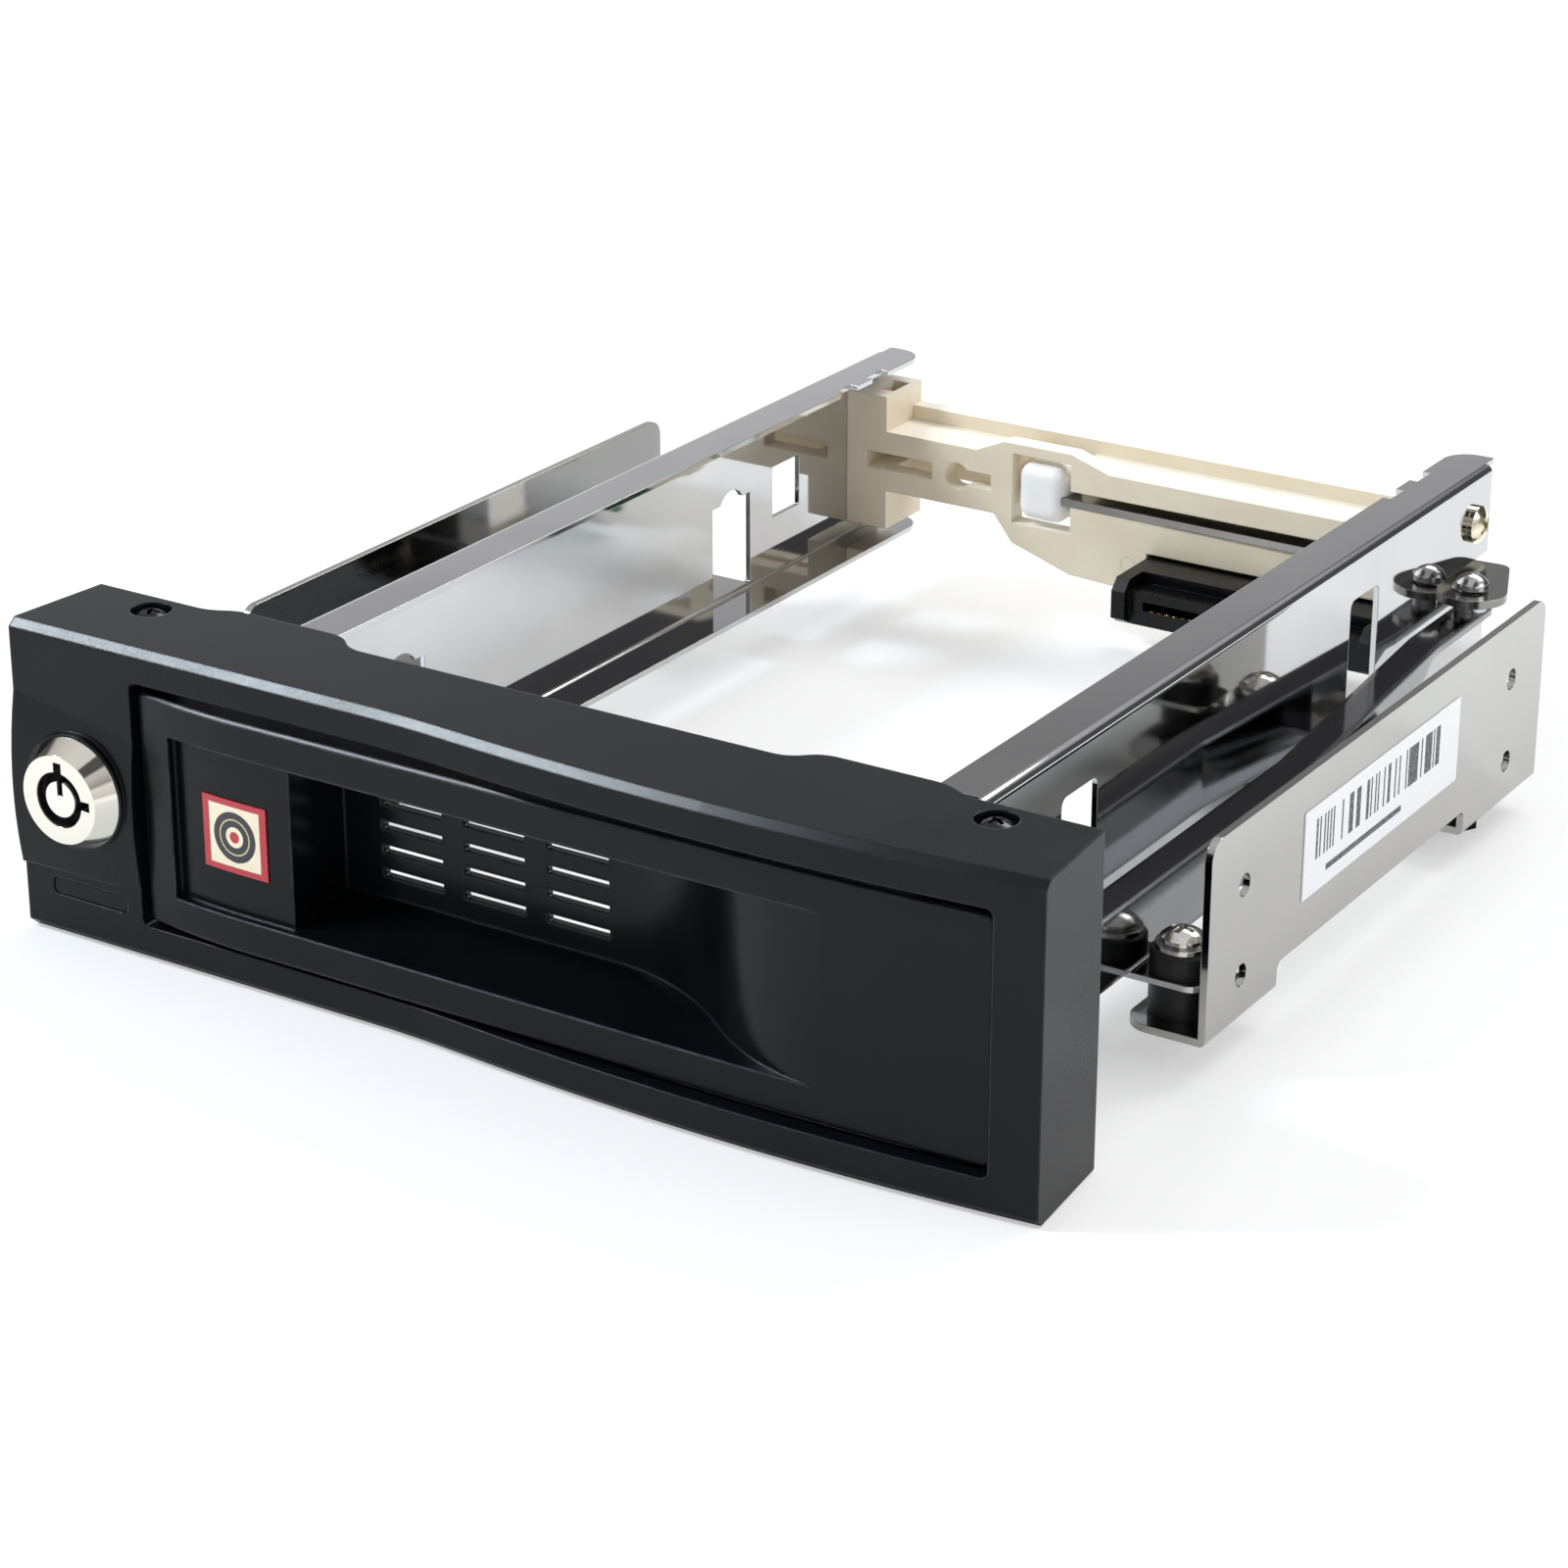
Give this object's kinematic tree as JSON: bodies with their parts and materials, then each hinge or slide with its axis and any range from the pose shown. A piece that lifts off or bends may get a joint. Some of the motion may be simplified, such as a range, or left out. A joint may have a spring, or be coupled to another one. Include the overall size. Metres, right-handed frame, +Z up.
{
  "type": "trayless drive mobile rack",
  "caption": "Trayless bay rack for one bare drive: bowed bezel with a keyed lock, hinged door with finger pocket, sheet cage, linked ejector, damper-mounted side brackets.",
  "frame": {"origin": "on the floor plane, under the middle of the width and of the whole length", "axes": "+X to the rack's right seen from the front, +Y to the back, +Z up; the drive leaves along -Y"},
  "size_m": [0.1488, 0.1786, 0.0422],
  "materials": {
    "bezel_plastic": "fine-grained charcoal",
    "door_plastic": "fine-grained charcoal",
    "lock_chrome": "polished",
    "lock_core": "polished, darkened in the keyway",
    "pin_steel": "turned",
    "screw_steel": "bright zinc",
    "bright_sheet": "bright nickel, near mirror",
    "lever_steel": "satin",
    "bracket_steel": "satin pale grey",
    "frame_nylon": "satin cream",
    "tip_nylon": "satin natural nylon",
    "lens_plastic": "smoked, flush with the bezel",
    "light_plastic": "clear epoxy",
    "board_laminate": "green solder mask",
    "connector_plastic": "black moulded",
    "damper_rubber": "matte black",
    "dark_nut": "black oxide",
    "label_paper": "white paper",
    "sticker_print": "printed film"
  },
  "bodies": {
    "cage": {"bezel": "bezel_plastic", "bezel_screws": "screw_steel", "lock_housing": "lock_chrome", "lock_nut": "lock_chrome", "indicator_lens": "lens_plastic", "indicator_light": "light_plastic", "indicator_board": "board_laminate", "left_wall": "bright_sheet", "right_wall": "bright_sheet", "rear_frame": "frame_nylon", "rear_frame_screws": "screw_steel", "ejector_pivot_pin": "pin_steel", "drive_connector": "connector_plastic", "backplane_board": "board_laminate", "board_screws": "screw_steel", "data_socket": "connector_plastic", "power_socket": "connector_plastic", "left_bracket": "bracket_steel", "right_bracket": "bracket_steel", "front_left_damper": "damper_rubber", "rear_left_damper": "damper_rubber", "front_right_damper": "damper_rubber", "rear_right_damper": "damper_rubber", "damper_screws": "screw_steel", "damper_washers": "screw_steel", "foot_nuts": "dark_nut", "bracket_label": "label_paper"},
    "door": {"door": "door_plastic", "door_hinge_pins": "pin_steel", "door_latch": "bright_sheet", "door_sticker": "sticker_print"},
    "bar": {"link_bar": "bright_sheet", "link_pin": "pin_steel"},
    "ejector": {"ejector_lever": "lever_steel", "ejector_tip": "tip_nylon"},
    "lock_plug": {"lock_barrel": "lock_core", "lock_cam": "pin_steel", "lock_cam_screw": "pin_steel"}
  },
  "joints": [
    {"name": "door_hinge", "type": "hinge", "parent": "cage", "child": "door", "pos_m": [0.0566, -0.07802, 0.021], "axis": [0, 0, 1], "range_deg": [0, 90]},
    {"name": "bar_slide", "type": "slide", "parent": "cage", "child": "bar", "axis": [0, 1, 0], "range_m": [0, 0.0052]},
    {"name": "ejector_turn", "type": "hinge", "parent": "cage", "child": "ejector", "pos_m": [0.0412, 0.08038, 0.022], "axis": [0, 0, 1], "range_deg": [0, 19.35]},
    {"name": "lock_turn", "type": "hinge", "parent": "cage", "child": "lock_plug", "pos_m": [-0.064, -0.0782, 0.0213], "axis": [0, 1, 0], "range_deg": [0, 90]}
  ],
  "couplings": [
    {"joint": "bar_slide", "follows": "door_hinge", "m_per_rad": 0.0033104},
    {"joint": "ejector_turn", "follows": "door_hinge", "ratio": 0.215}
  ]
}
